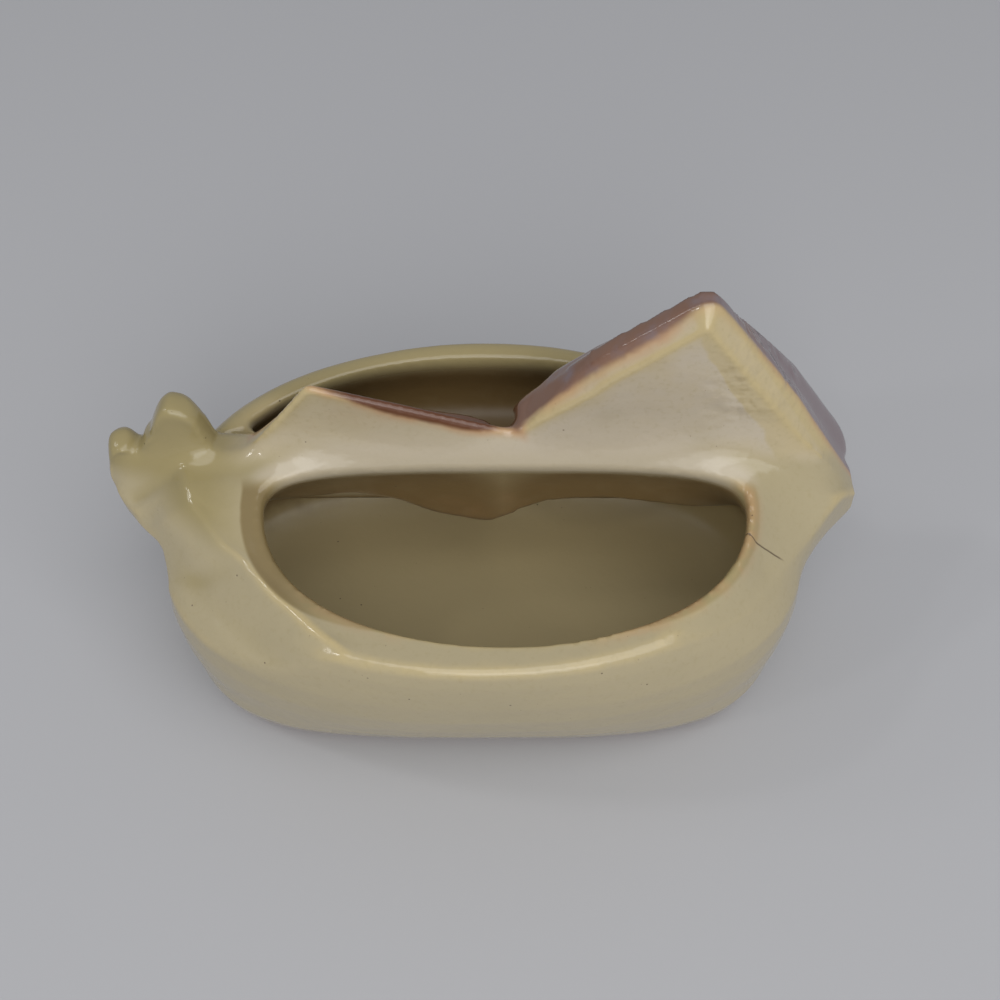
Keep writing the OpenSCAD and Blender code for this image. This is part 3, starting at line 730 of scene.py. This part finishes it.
class Glaze(Shader):
    """Cream glaze over the body, mauve on the pillowed fronts, red-brown where they meet."""

    def __init__(self):
        super().__init__("glaze", IOR=1.5)
        self.shades = settings("colours")
        self.whole, (self.x, self.y, self.z) = self.place()
        names = ("crest", "swell", "border", "inside", "rim")
        self.crest, self.swell, self.border, self.inside, self.rim = map(self.attribute, names)
        self.cloud = self.noise(self.whole, 30, 3)
        self.mottle = self.noise(self.whole, 7, 3, 40)
        self.grain = self.noise(self.whole, 1.6, 3, 80)
        self.clouds, self.spots = self.cloud - 0.5, self.mottle - 0.5
        self.near = (2 - self.y).step(0, 6) * self.z.step(58, 64)
        cream = self.slab_glaze()
        for layer in (self.pooled, self.banded, self.hollowed, self.flawed):
            cream = layer(cream)
        bare = 1 - (self.z + self.spots * 1.6).step(2.9, 3.6)
        self.drive("Base Color", self.mix(bare, self.leafed(cream), self.shades.clay))
        gloss = 0.08 + 0.07 * self.cloud + 0.05 * self.mottle + 0.3 * self.inside
        self.drive("Roughness", gloss + bare * 0.5)
        self.drive("Normal", self.bump(self.relief() * (1 - bare), MM))

    def past_edge(self, edge):
        """How far a place lies past an inner edge of the wing's bevel, in millimetres."""
        edge_x, edge_z, right, up = edge
        return (self.x - edge_x) * right + (self.z - edge_z) * up

    def slab_glaze(self):
        """Cream on the belly and thick pale glaze on the slab, but not on the bevel or where it ran."""
        x, y, z = self.x, self.y, self.z
        slab = (z + 0.5 * y).step(76, 84) * (y - self.cloud * 4).step(2, 8) * (0.5 + 0.5 * x.step(-20, 25))
        right, left = self.past_edge(WING_RIGHT), self.past_edge(WING_LEFT)
        bevel = right.step(0.5, 3).most(left.step(0.5, 3) * x.step(8, 14)) * (y - z * 0.02).step(0, 4)
        runny = (right + self.clouds * 24).step(-9, -7.5) * z.step(72, 80)
        patches = self.clouds * 1.4 + self.spots * 0.6 + 1 - self.swell * 1.3 - self.crest
        thick = slab * (1 - bevel.most(runny * 0.7)) * patches
        cover = self.mix(slab * 0.85, self.shades.cream, self.shades.khaki)
        return self.mix(thick.share(), cover, self.shades.pale)

    def pooled(self, cream):
        """Khaki where the glaze lies thin on crests, olive where it pools, on the arm and in the grain."""
        thin = (self.crest * 0.5 + self.swell * 0.8 + self.spots * 0.5).step(0.2, 1.2)
        pool = (0.1 - self.swell - self.crest * 0.4 + self.clouds * 0.6).step(0, 0.9)
        arm = (self.spots * 6 - self.x).step(64, 82) * self.z.step(66, 74)
        cream = self.mix(thin, cream, self.shades.khaki)
        cream = self.mix(pool, cream, self.shades.olive)
        return self.mix(arm.most(self.grain.step(0.5, 0.8) * 0.22), cream, self.shades.olive)

    def banded(self, cream):
        """Olive in the band along the mouth's rim with brown painted shade on its left part, peach beside
        it, and a pale painted sheen on its far edge.
        """
        x, y, z, rim = self.x, self.y, self.z, self.rim
        band = (band_width(x, Wire.step) * 1.1 - rim).step(-0.4, 0.8) * self.near
        cream = self.mix(band * 0.8, cream, self.shades.olive)
        # Painted shade: brown over the left part of the band, where the lip turns in away from the light
        cream = self.mix(band * (-x).step(40, 60) * 0.6, cream, self.shades.umber_shade)
        basin_rim = y.step(30, 40) * z.step(58, 66)
        cream = self.mix(basin_rim * 0.8, cream, self.shades.olive)
        ends = x.step(20, 50) + (-x).step(15, 35) * (58 + x).step(0, 12) * 0.7
        tint = (5 - abs(rim - 1)).step(0, 5) * self.near * ends
        cream = self.mix(tint * 0.5 * self.mottle.step(0.3, 0.6), cream, self.shades.peach)
        # Painted sheen: pale along the rounded far edge of the mouth, where it faces up towards the light
        far_edge_sheen = (4 - abs(rim - 1.5)).step(0, 3) * y.step(-2, 2) * z.step(70, 74)
        return self.mix(far_edge_sheen * 0.6, cream, self.shades.pale)

    def hollowed(self, cream):
        """The inner glaze, painted lighter towards the far end of the floor where more light falls, and
        brown painted shade on the walls there.
        """
        x, y, z = self.x, self.y, self.z
        # Painted shade: brown over the walls of the hollows from a height up, on the far side, and over the
        # front basin's walls
        wall_height = z + self.mottle * 8 + (-x).step(25, 55) * 14
        walls = wall_height.step(28, 42) * (y + abs(x - 6) * 0.25).step(2, 12)
        basin_walls = y.step(18, 20) * z.step(44, 48)
        # Painted light: the floor inside the mouth turns from the inner glaze to khaki towards its far end,
        # where more light falls
        floor = self.mix(y.step(0, 35) * 0.8, self.shades.shadow, self.shades.khaki)
        hollow = self.mix(walls.most(basin_walls), floor, self.shades.umber_shade)
        return self.mix((self.inside + self.spots * 0.2 * self.inside).least(1), cream, hollow)

    def flawed(self, cream):
        """Iron specks, and the hairline crack that runs out from the mouth's right end."""
        x, y, z = self.x, self.y, self.z
        large, small = self.dots(self.whole, 9, 0.36, 3), self.dots(self.whole, 5, 0.2, 71)
        self.specks = large * self.grain.step(0.3, 0.5) + small * 0.6
        off_line = abs(y + 15 + (x - 75.4) * 0.65 - (x - 79).most(0) * 0.6 + self.spots * 0.8)
        along = x.step(74.5, 76) * (89 - x).step(0, 3) * z.step(50, 56)
        self.crack = (1 - off_line.step(0.12, 0.34)) * along
        return self.mix((self.specks + self.crack).least(1) * 0.75, cream, self.shades.speck)

    def leafed(self, cream):
        """Leaf glaze inside its border with a purple-grey painted reflection in it, red-brown where it
        breaks, and a peach bleed outside it.
        """
        edge = self.border + (self.noise(self.whole, 6, 2, 11) - 0.5) * 1.1
        patches = self.noise(self.whole, 16, 2, 23).step(0.35, 0.65)
        bled = self.mix(edge.step(-3.4, 0.2) * (0.35 + 0.5 * patches), cream, self.shades.peach)
        # Painted reflection: the purple-grey sky reflection mixed into the leaf glaze in clouds, more
        # towards the right
        thick = (self.cloud + (self.x - 40) * 0.006 + self.spots * 0.7).step(0.4, 0.75)
        leaf = self.mix(thick, self.shades.mauve, self.shades.leaf_reflection)
        on_panel = (13 - self.x).step(0, 6) * (0.75 + self.spots * 0.5)
        breaking = (self.crest * 0.8 + self.spots * 0.5).step(0.3, 1.2)
        leaf = self.mix((on_panel + breaking).share(), leaf, self.shades.rust)
        return self.mix(edge.step(-1.2, 0.8), bled, leaf)

    def relief(self):
        """Height of the glaze in millimetres: ripples, runs at the wing's right, specks and the crack."""
        ripples = (self.noise(self.whole, 5.5, 2, 5) - 0.5) * 0.16 + (self.grain - 0.5) * 0.008
        runs = (self.noise(self.whole, 7, 2, 47) - 0.5) * self.x.step(58, 76) * self.z.step(86, 98) * 1.5
        return ripples + runs - self.specks * 0.06 - self.crack * 0.1


def clay_material():
    """Dry unglazed clay with a fine grain."""
    shades = settings("colours")
    shader = Shader("bare_clay", Roughness=0.85)
    place, _ = shader.place()
    grain = shader.noise(place, 0.8, 6)
    shader.drive("Base Color", shader.mix(grain, [c * 0.7 for c in shades.clay], shades.clay))
    shader.drive("Normal", shader.bump(grain * 0.1, MM))
    return shader.material


def lay_floor(floor_colour):
    """A wide plain floor, which isn't part of the planter."""
    bpy.ops.object.select_all(action="DESELECT")
    bpy.ops.mesh.primitive_plane_add(size=12)
    floor = bpy.context.active_object
    floor.name = "floor"
    shader = Shader("floor", Roughness=0.6)
    shader.surface.inputs["Base Color"].default_value = colour(floor_colour)
    floor.data.materials.append(shader.material)


def add_lamp(name, place, size, watts):
    """A square soft lamp that faces the planter."""
    middle = Vector((0, 0, 0.05))
    turn = (middle - Vector(place)).to_track_quat("-Z", "Y").to_euler()
    bpy.ops.object.light_add(type="AREA", location=place, rotation=turn)
    light = bpy.context.active_object
    light.name = name
    light.data.size = size
    light.data.energy = watts


def light_world(sky, strength):
    """Even light from all round."""
    world = bpy.data.worlds.new("studio")
    world.use_nodes = True
    background = world.node_tree.nodes["Background"]
    background.inputs["Color"].default_value = colour(sky)
    background.inputs["Strength"].default_value = strength
    bpy.context.scene.world = world


def set_camera(sizes):
    """A camera that looks down on the planting mouth, a little above the planter's middle."""
    target = Vector((5, -2.5, 70)) * MM
    back = Vector((0, -math.cos(sizes.elevation), math.sin(sizes.elevation)))
    bpy.ops.object.camera_add(
        location=target + back * sizes.distance, rotation=(math.pi / 2 - sizes.elevation, 0, 0))
    camera = bpy.context.active_object
    camera.name = "camera"
    camera.data.sensor_width = 36
    camera.data.lens = sizes.lens
    bpy.context.scene.camera = camera


class PLANTER_OT_studio(bpy.types.Operator):
    """Set out the floor, the lamps and the camera"""

    bl_idname = "planter.studio"
    bl_label = "Studio"

    def execute(self, context):
        sizes = settings("studio")
        lay_floor(sizes.floor)
        add_lamp("front", (0.45, -1.0, 1.45), 2.0, 24.5)
        add_lamp("low", (0.2, -1.6, 0.8), 1.1, 5.5)
        add_lamp("window", (-1.3, 0.1, 1.0), 0.24, 1.1)
        add_lamp("pane", (-0.95, 0, 1.2), 0.12, 1.1)
        add_lamp("glint", (-0.9, -0.57, 0.9), 0.1, 0.9)
        light_world(sizes.sky, sizes.sky_strength)
        context.scene.view_settings.view_transform = "Standard"
        set_camera(sizes)
        return {"FINISHED"}


class PLANTER_PT_sidebar(bpy.types.Panel):
    """The planter's tab in the sidebar"""

    bl_idname = "PLANTER_PT_sidebar"
    bl_label = "Ceramic planter"
    bl_space_type = "VIEW_3D"
    bl_region_type = "UI"
    bl_category = "Planter"

    def draw(self, context):
        column = self.layout.column()
        for operator in STEPS:
            column.operator(operator.bl_idname)
        for group in GROUPS:
            box = column.box()
            for name in GROUPS[group].__annotations__:
                box.prop(settings(group), name)


GROUPS = {"colours": GlazeColours, "skin": SkinSizes, "studio": StudioSizes}
STEPS = (PLANTER_OT_body, PLANTER_OT_foot, PLANTER_OT_studio)
CLASSES = (*GROUPS.values(), *STEPS, PLANTER_PT_sidebar)


def register():
    """Registers the classes and hangs the groups of sizes and colours on the scene."""
    for cls in CLASSES:
        bpy.utils.register_class(cls)
    for name, group in GROUPS.items():
        setattr(bpy.types.Scene, "planter_" + name, PointerProperty(type=group))


def unregister():
    """Takes the groups off the scene and unregisters the classes."""
    for name in GROUPS:
        delattr(bpy.types.Scene, "planter_" + name)
    for cls in reversed(CLASSES):
        bpy.utils.unregister_class(cls)


def main():
    """Makes the planter and its studio."""
    register()
    bpy.ops.planter.body()
    bpy.ops.planter.foot()
    bpy.ops.planter.studio()


if __name__ == "__main__":
    main()
